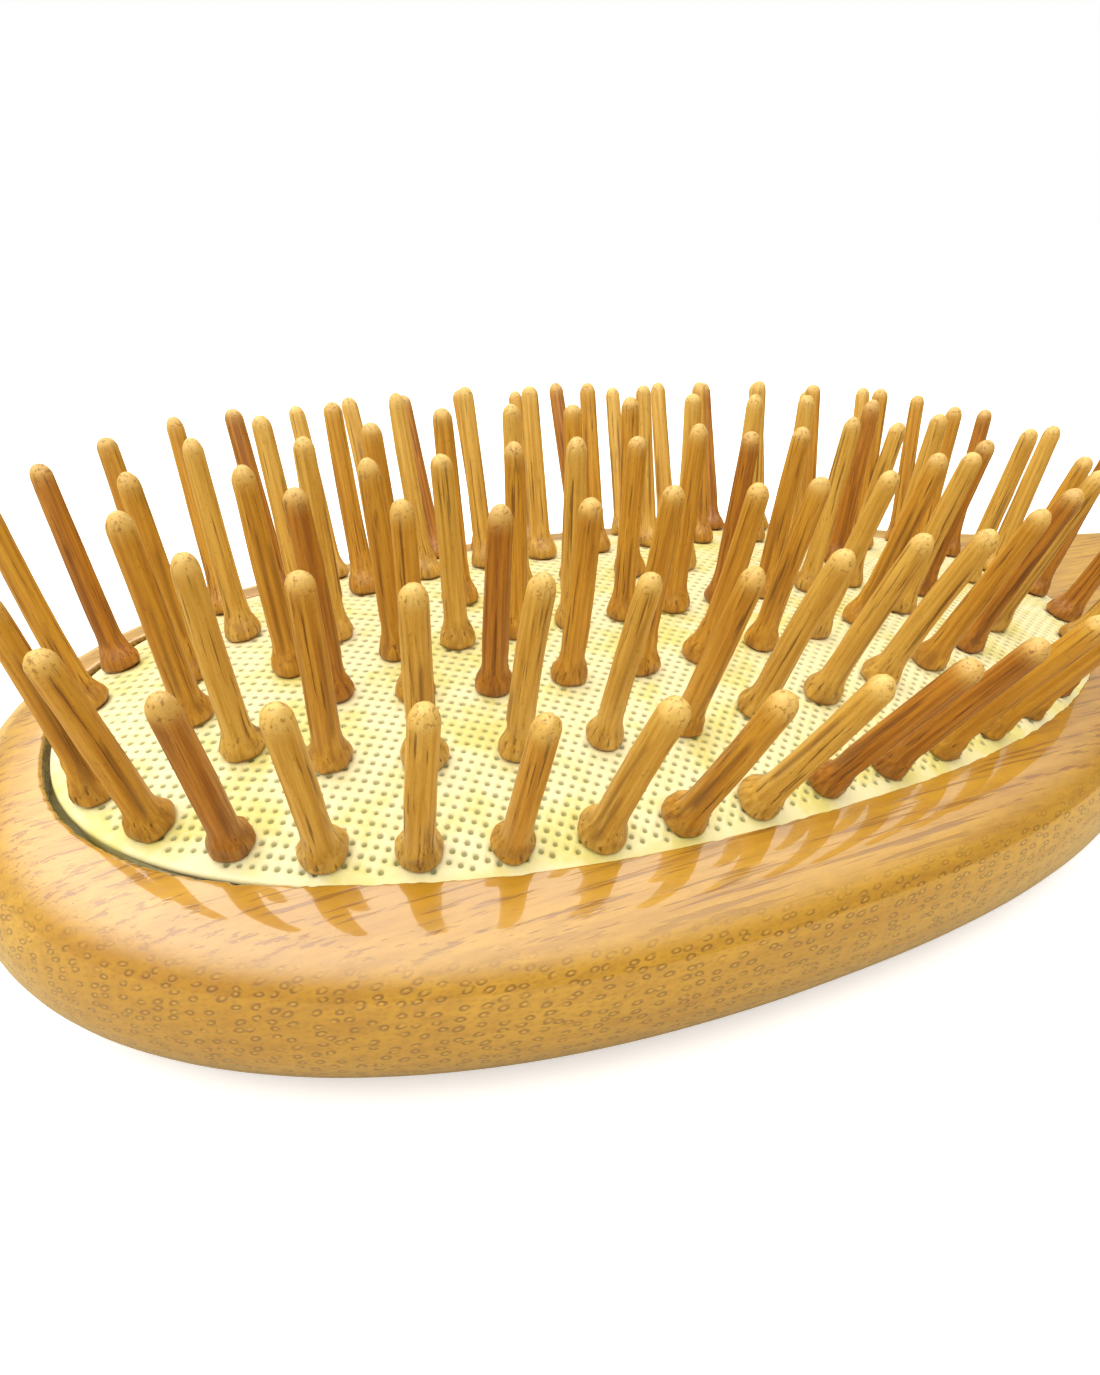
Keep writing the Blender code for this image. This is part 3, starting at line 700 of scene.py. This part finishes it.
def make_dome():
    """The sheet of the cushion: dimples on a bent lattice, a rolled edge, and a round hole
    for every pin, closed by a plain underside."""
    shell = Shell()
    pit_shades = []
    holes = hole_places()

    def add(points, pit_shade):
        pit_shades.append(np.broadcast_to(pit_shade, len(points)).astype(float))
        return shell.add(points)

    # lattice cells that lie clear of the edge and of the pins' holes
    outline = oval_points(CUSHION_A, CUSHION_B)
    span = head_to_lattice(outline[:, 0] + 1j * outline[:, 1])
    low = np.floor([span.real.min(), span.imag.min()]).astype(int)
    high = np.ceil([span.real.max(), span.imag.max()]).astype(int)
    columns, rows = high - low + 1
    grid_u, grid_v = np.meshgrid(np.arange(columns) + low[0], np.arange(rows) + low[1], indexing="ij")
    corner = lattice_to_head(grid_u + 1j * grid_v)
    usable = edge_distance(corner.real, corner.imag) > 0.02 - EDGE_GROW + EDGE_ROUND
    for hole in holes:
        usable &= np.abs(corner - complex(*hole)) > HOLE_RADIUS + 0.12
    middle = lattice_to_head(grid_u + 0.5 + 1j * (grid_v + 0.5))
    cell = usable.copy()
    cell[:-1] &= usable[1:]
    cell[:, :-1] &= usable[:, 1:]
    cell[:-1, :-1] &= usable[1:, 1:]
    cell[-1], cell[:, -1] = False, False
    for hole in holes:
        cell &= np.abs(middle - complex(*hole)) > HOLE_RADIUS + 0.55
    # corners that only touch cells diagonally would pinch the sheet, so one cell goes
    for i in range(1, columns - 1):
        for j in range(1, rows - 1):
            a, b, c, d = cell[i - 1, j - 1], cell[i, j - 1], cell[i - 1, j], cell[i, j]
            if (a and d and not b and not c) or (b and c and not a and not d):
                cell[i, j] = cell[i, j - 1] = False

    cells = np.argwhere(cell)
    keys = {}

    def lattice_points(keys_wanted, lift):
        """Numbers of shared lattice points, given in half cells."""
        fresh = [k for k in dict.fromkeys(keys_wanted) if k not in keys]
        if fresh:
            half = np.array(fresh, float)
            spot = lattice_to_head(half[:, 0] / 2 + low[0] + 1j * (half[:, 1] / 2 + low[1]))
            height = cushion_top(spot.real, spot.imag) + lift
            numbers = add(np.column_stack([spot.real, spot.imag, height]), 0.0)
            keys.update(zip(fresh, numbers.tolist()))
        return [keys[k] for k in keys_wanted]

    walk = ((0, 0), (1, 0), (2, 0), (2, 1), (2, 2), (1, 2), (0, 2), (0, 1))
    corners = [(2 * i + a, 2 * j + b) for i, j in cells for a, b in walk[::2]]
    sides = [(2 * i + a, 2 * j + b) for i, j in cells for a, b in walk[1::2]]
    corner_numbers = np.array(lattice_points(corners, 0.05)).reshape(-1, 4)
    side_numbers = np.array(lattice_points(sides, 0.02)).reshape(-1, 4)
    border = np.stack([corner_numbers, side_numbers], -1).reshape(-1, 8)
    centre = cells[:, 0] + low[0] + 0.5 + 1j * (cells[:, 1] + low[1] + 0.5)
    jitter = rough(np.column_stack([centre.real, centre.imag, centre.real * 0]), 0.7, 31, 1)
    rounds = np.exp(1j * (np.arange(8) * math.pi / 4 - 3 * math.pi / 4))
    levels = []
    # the third number of each level is painted shade, deepest at the dimple's bottom
    for radius, drop, pit_shade in ((0.30, 0.0, 0.05), (0.175, 0.20, 0.85)):
        size = radius * (1 + 0.18 * jitter[:, None])
        spot = lattice_to_head(centre[:, None] + size * rounds * (1 + 0.06 * 1j * jitter[:, None]))
        height = cushion_top(spot.real, spot.imag) - drop
        points = np.stack([spot.real, spot.imag, height], -1).reshape(-1, 3)
        levels.append(add(points, pit_shade).reshape(-1, 8))
    spot = lattice_to_head(centre)
    bottom = add(np.column_stack([spot.real, spot.imag, cushion_top(spot.real, spot.imag) - 0.30]), 1.0)
    for outer, inner in ((border, levels[0]), (levels[0], levels[1])):
        quads = np.stack([outer, np.roll(outer, -1, 1), np.roll(inner, -1, 1), inner], -1)
        shell.faces += quads.reshape(-1, 4).tolist()
    fans = np.stack([levels[1], np.roll(levels[1], -1, 1), np.repeat(bottom[:, None], 8, 1)], -1)
    shell.faces += fans.reshape(-1, 3).tolist()

    # the rolled edge, from the lattice's side outwards and under
    loops = []
    for inset in (EDGE_ROUND, 0.26, 0.14, 0.05, 0.0):
        reach = inset - EDGE_GROW
        flat, _ = evenly(oval_points(CUSHION_A - reach, CUSHION_B - reach), EDGE_POINTS)
        rounding = EDGE_ROUND * (1 - math.sqrt(1 - (1 - inset / EDGE_ROUND) ** 2))
        height = dome(flat[:, 0], flat[:, 1]) - rounding
        loops.append(add(np.column_stack([flat, height]), 0.0))
    flat, _ = evenly(outline, EDGE_POINTS)
    # the loops under the rolled edge carry a little painted shade
    loops.append(add(np.column_stack([flat * 0.9995, np.full(EDGE_POINTS, -EDGE_ROUND - SHEET * 0.6)]), 0.2))
    under_flat, _ = evenly(oval_points(CUSHION_A - 1.0, CUSHION_B - 1.0), EDGE_POINTS)
    loops.append(add(np.column_stack([under_flat, np.full(EDGE_POINTS, -EDGE_ROUND - SHEET * 0.75)]), 0.2))
    for a, b in zip(loops, loops[1:]):
        shell.skin(a, b)

    turns = np.exp(1j * np.arange(HOLE_SIDES) * 2 * math.pi / HOLE_SIDES)
    hole_top, hole_low = [], []
    for hole in holes:
        spot = complex(*hole) + HOLE_RADIUS * turns
        height = cushion_top(spot.real, spot.imag)
        hole_top.append(add(np.column_stack([spot.real, spot.imag, height]), 0.0))
        # the hole walls below the top carry painted shade
        hole_low.append(add(np.column_stack([spot.real, spot.imag, height - SHEET]), 0.3))
        shell.skin(hole_top[-1], hole_low[-1])

    points = shell.all_points()
    kept = {(int(i), int(j)) for i, j in cells}
    quads = [[(2 * i, 2 * j), (2 * i + 1, 2 * j), (2 * i + 2, 2 * j), (2 * i + 2, 2 * j + 1),
              (2 * i + 2, 2 * j + 2), (2 * i + 1, 2 * j + 2), (2 * i, 2 * j + 2), (2 * i, 2 * j + 1)]
             for i, j in kept]
    jagged = [[keys[k] for k in loop] for loop in boundary_loops(quads)]

    def clear_of_cells(x, y):
        where = head_to_lattice(complex(x, y))
        at = (math.floor(where.real) - low[0], math.floor(where.imag) - low[1])
        return at not in kept and np.min(np.hypot(*(holes - (x, y)).T)) > HOLE_RADIUS * 0.97

    def clear_of_holes(x, y):
        return np.min(np.hypot(*(holes - (x, y)).T)) > HOLE_RADIUS * 0.97

    def as_lists(found):
        return [list(map(int, loop)) for loop in found]

    shell.faces += fill_between(points, as_lists([loops[0], *hole_top, *jagged]), clear_of_cells)
    shell.faces += fill_between(points, as_lists([loops[-1], *hole_low]), clear_of_holes)
    dome_piece = make_object("cushion_dome", shell, cushion_material(), values={"pit_shade": np.concatenate(pit_shades)})
    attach(dome_piece, "root")
    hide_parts("rubber_cushion")
    return dome_piece


def make_skirt(material):
    """The upright skirt below the dome's edge, and the bead that buttons into the groove."""
    shell = Shell()
    top = -EDGE_ROUND - SHEET * 0.8
    section = (
        (0.05, top), (0.12, -2.6), (SKIRT_IN, -BEAD_TOP), (-BEAD_OUT + 0.3, -BEAD_TOP),
        (-BEAD_OUT, -BEAD_TOP - 0.35), (-BEAD_OUT, -BEAD_BOTTOM + 0.35), (-BEAD_OUT + 0.3, -BEAD_BOTTOM),
        (SKIRT_IN + SKIRT_WALL - 0.3, -BEAD_BOTTOM), (SKIRT_IN + SKIRT_WALL, -BEAD_BOTTOM + 0.3),
        (SKIRT_IN + SKIRT_WALL, -2.6), (1.1, top),
    )
    loops = []
    for inset, height in section:
        flat, _ = evenly(oval_points(CUSHION_A - inset, CUSHION_B - inset), 240)
        loops.append(shell.add(np.column_stack([flat, np.full(240, height)])))
    for a, b in zip(loops, loops[1:] + loops[:1]):
        shell.skin(a, b)
    skirt = make_object("cushion_skirt", shell, material, values={"pit_shade": np.zeros(shell.count)})
    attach(skirt, "root")
    return skirt


# ------------------------------------------------------------------ pins
PIN_SIDES = 32
LONGER_AT_BACK = 1.6
FOOT_SECTION = ((0.0, 2.28), (1.25, 2.28), (1.5, 2.1), (1.5, 1.78), (1.2, 1.62), (0.62, 1.56), (0.62, 0.0))
COLLAR_SECTION = (
    (0.03, 1.50), (0.10, 1.70), (0.26, 1.82), (0.55, 1.88), (0.9, 1.86), (1.25, 1.78), (1.6, 1.67),
    (1.95, 1.53), (2.3, 1.40), (2.7, 1.30), (3.3, 1.23), (4.0, 1.2),
)
TIP_HEIGHT = 1.35


def pin_axis(x, y):
    lean = np.array([LEAN_X * x / CUSHION_A, LEAN_Y * y / CUSHION_B, 1.0])
    return lean / np.linalg.norm(lean)


def make_pin(name, place, tangent, shift, material, random):
    """One pin, knife-cut and a little uneven: a foot under the sheet, a flared collar that
    sits on it, a split and fluted shaft and a blunt tip."""
    base = np.array([place[0], place[1], float(dome(*place))])
    axis = pin_axis(*place) + np.array([random.normal(0, 0.016), random.normal(0, 0.016), 0])
    axis /= np.linalg.norm(axis)
    across = np.array([tangent[0], tangent[1], 0.0])
    across -= across.dot(axis) * axis
    across /= np.linalg.norm(across)
    up = np.cross(axis, across)
    turn = np.arange(PIN_SIDES) * 2 * math.pi / PIN_SIDES
    cos, sin = np.cos(turn), np.sin(turn)
    length = PIN_LENGTH + LONGER_AT_BACK * smooth_step(place[1], -6, 27) + random.normal(0, 0.28)
    girth = 1 + random.normal(0, 0.03)
    swell = 1 + random.normal(0, 0.05)
    bow = random.normal(0, 0.10, 2)
    lobes = [(k, random.uniform(0.004, 0.035) / math.sqrt(k), random.uniform(0, 6.3)) for k in (2, 3, 5)]
    splits = [
        (random.uniform(0, 6.3), random.uniform(0.8, 5), random.uniform(8, 17), random.uniform(0.05, 0.15))
        for _ in range(random.integers(2, 5))
    ]
    seed = float(random.uniform(0, 1))
    shell, values = Shell(), {"dark": [], "tip_highlight": []}
    rings = []

    def ring(points, dark, tip_highlight):
        rings.append(shell.add(points))
        values["dark"].append(np.broadcast_to(dark, len(points)))
        values["tip_highlight"].append(np.broadcast_to(tip_highlight, len(points)))

    stub = place + shift * inward(tangent)
    side = inward(tangent)
    for radius, depth in FOOT_SECTION[1:]:
        flat = stub + radius * (cos[:, None] * tangent + sin[:, None] * side)
        height = dome(flat[:, 0], flat[:, 1]) - depth
        ring(np.column_stack([flat, height]), 0.3, 0.0)

    shaft_top = length - TIP_HEIGHT
    shaft = np.linspace(4.7, shaft_top, 17)
    section = [(h, r * swell) for h, r in COLLAR_SECTION]
    section += [(h, np.interp(h, (4, shaft_top), (SHAFT_RADIUS + 0.04, SHAFT_TIP_RADIUS))) for h in shaft]
    blunt = random.uniform(0.85, 1.15)
    for angle in np.radians((14, 28, 42, 55, 67, 78)):
        section.append((shaft_top + TIP_HEIGHT * blunt * math.sin(angle), SHAFT_TIP_RADIUS * math.cos(angle)))
    shape = 1 + sum(size * np.cos(k * turn + phase) for k, size, phase in lobes)
    for height, radius in section:
        sample = np.column_stack([cos * 1.2, sin * 1.2, np.full(PIN_SIDES, height)]) + seed * 91
        collar = 1 - smooth_step(height, 1.6, 3.6)
        tip = smooth_step(height, shaft_top - 0.6, shaft_top + 0.8)
        lumps = rough(sample, (0.9, 0.9, 3.5), 41) * 0.045
        gouge = rough(sample, (0.5, 0.5, 1.5), 43)
        lumps += collar * gouge * 0.20 * min(1, height / 0.3)
        lumps += tip * rough(sample, (0.5, 0.5, 0.5), 45) * 0.08
        cut = np.zeros(PIN_SIDES)
        for centre, low, high, depth in splits:
            off = np.angle(np.exp(1j * (turn - centre - 0.02 * height)))
            reach = smooth_step(height, low - 1, low + 1) * (1 - smooth_step(height, high - 2, high))
            cut += depth * reach * np.exp(-(off / 0.16) ** 2)
        reach = radius * girth * shape + lumps - cut
        middle = base + height * axis + (bow[0] * across + bow[1] * up) * math.sin(math.pi * height / length)
        points = middle + reach[:, None] * (cos[:, None] * across + sin[:, None] * up)
        settle = 1 - smooth_step(height, 0.2, 2.2)
        if settle > 0:
            flat = place + reach[:, None] * (cos[:, None] * tangent + sin[:, None] * side)
            sitting = np.column_stack([flat, dome(flat[:, 0], flat[:, 1]) + 0.07 + height])
            points = points * (1 - settle) + sitting * settle
        # painted shade at the foot where the pin meets the cushion (the last term) and in the cut splits (cut
        # * 8); the collar term is its own darker tone
        under = 1 - smooth_step(height, 0.0, 0.5)
        darkness = np.clip(cut * 8, 0, 1) + collar * (0.25 - 0.6 * gouge) + 0.75 * under
        # the last value is the painted highlight on the tip
        ring(points, np.clip(darkness, 0, 1), 0.65 * tip)
    for lower, upper in zip(rings, rings[1:]):
        shell.skin(lower, upper)
    shell.cap(rings[0], flip=True)
    shell.cap(rings[-1])
    values = {key: np.concatenate(found) for key, found in values.items()}
    values["seed"] = np.full(shell.count, seed)
    origin = to_row(base)
    turned = np.column_stack([across, up, axis])
    rows = [[*map(float, row), float(o)] for row, o in zip(turned, origin)]
    matrix = Matrix(rows + [[0, 0, 0, 1]])
    return make_object(name, shell, material, matrix, values)


def make_pins():
    random = np.random.default_rng(20)
    materials = {slot: pin_material(slot) for slot in PIN_TONES}
    slots = list(PIN_TONES)
    for group, track, shift, distances in pin_groups():
        chunks = np.array_split(distances, math.ceil(len(distances) / MOST_PINS_IN_A_NODE))
        pin_number = 0
        for number, chunk in enumerate(chunks, 1):
            node = f"pins_{group}_{number}"
            for distance in chunk:
                pin_number += 1
                place, tangent = track.at(distance)
                tone = slots[random.choice(3, p=(0.42, 0.43, 0.15))]
                pin = make_pin(f"pin_{group}_{pin_number}", place, tangent, shift, materials[tone], random)
                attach(pin, f"pins_{group}")
                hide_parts(node)


# ------------------------------------------------------------------ studio
CAMERA_PLACE = (-0.0951, -0.0698, 0.0615)
CAMERA_RIGHT = (0.920, -0.389, 0.047)
CAMERA_UP = (0.171, 0.507, 0.845)
CAMERA_LENS = 20.95
SKY = (0.22, 0.85, 0.32, 3.2)
SKY_TINT = (1, 0.97, 0.90, 1)
SKY_SIDE, SKY_SIDE_SHARE = (0.85, -0.50, 0.0), (-0.5, 0.9, 1.12, 0.35)


def make_camera():
    data = bpy.data.cameras.new("camera")
    data.lens, data.sensor_width, data.sensor_fit = CAMERA_LENS, 36.0, "AUTO"
    data.clip_start, data.clip_end = 0.005, 20.0
    right = Vector(CAMERA_RIGHT).normalized()
    up = Vector(CAMERA_UP)
    up = (up - up.dot(right) * right).normalized()
    back = right.cross(up)
    camera = bpy.data.objects.new("camera", data)
    turn = Matrix((right, up, back)).transposed().to_4x4()
    camera.matrix_world = Matrix.Translation(CAMERA_PLACE) @ turn
    bpy.context.scene.collection.objects.link(camera)
    bpy.context.scene.camera = camera


def make_sky():
    """Soft light from above that fades towards the horizon, seen by the camera as plain white."""
    world = bpy.data.worlds.new("studio_sky")
    world.use_nodes = True
    tree = world.node_tree
    way = tree.nodes.new("ShaderNodeTexCoord").outputs["Generated"]
    up = tree.nodes.new("ShaderNodeSeparateXYZ")
    tree.links.new(way, up.inputs[0])
    fade = tree.nodes.new("ShaderNodeMapRange")
    fade.interpolation_type = "SMOOTHSTEP"
    tree.links.new(up.outputs["Z"], fade.inputs["Value"])
    for key, value in zip(("From Min", "From Max", "To Min", "To Max"), SKY):
        fade.inputs[key].default_value = value
    aside = tree.nodes.new("ShaderNodeVectorMath")
    aside.operation = "DOT_PRODUCT"
    tree.links.new(way, aside.inputs[0])
    aside.inputs[1].default_value = SKY_SIDE
    side = tree.nodes.new("ShaderNodeMapRange")
    tree.links.new(aside.outputs["Value"], side.inputs["Value"])
    for key, value in zip(("From Min", "From Max", "To Min", "To Max"), SKY_SIDE_SHARE):
        side.inputs[key].default_value = value
    both = tree.nodes.new("ShaderNodeMath")
    both.operation = "MULTIPLY"
    tree.links.new(fade.outputs[0], both.inputs[0])
    tree.links.new(side.outputs[0], both.inputs[1])
    seen = tree.nodes.new("ShaderNodeLightPath").outputs["Is Camera Ray"]
    pick = tree.nodes.new("ShaderNodeMix")
    tree.links.new(seen, pick.inputs[0])
    tree.links.new(both.outputs[0], pick.inputs[2])
    pick.inputs[3].default_value = 1.0
    tree.links.new(pick.outputs[0], tree.nodes["Background"].inputs["Strength"])
    tint = tree.nodes.new("ShaderNodeMix")
    tint.data_type = "RGBA"
    tree.links.new(seen, tint.inputs[0])
    tint.inputs[6].default_value, tint.inputs[7].default_value = SKY_TINT, (1, 1, 1, 1)
    tree.links.new(tint.outputs[2], tree.nodes["Background"].inputs["Color"])
    bpy.context.scene.world = world


def make_studio():
    mesh = bmesh.new()
    bmesh.ops.create_circle(mesh, cap_ends=True, segments=96, radius=6.0)
    data = bpy.data.meshes.new("floor")
    mesh.to_mesh(data)
    mesh.free()
    n = Nodes("pale_floor", Roughness=0.9)
    seen = n.add("ShaderNodeLightPath").outputs["Is Camera Ray"]
    grain = n.mix(n.noise(n.place((0.002, 0.002, 0.002))), rgb(0.97, 0.97, 0.97), rgb(0.99, 0.99, 0.99))
    n.join((1, 1, 1, 1), n.shader.inputs["Emission Color"])
    n.join(n.math("MULTIPLY", seen, 0.35), n.shader.inputs["Emission Strength"])
    data.materials.append(n.finish(n.mix(seen, rgb(0.76, 0.69, 0.52), grain)))
    floor = bpy.data.objects.new("floor", data)
    floor.location = (0, 0, float(BODY_LOW[2]) * MM)
    bpy.context.scene.collection.objects.link(floor)
    make_sky()
    bpy.context.scene.view_settings.view_transform = "Standard"


make_camera()
make_studio()
make_body()
cushion = make_dome()
make_skirt(cushion.data.materials[0])
make_pins()
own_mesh(cushion)
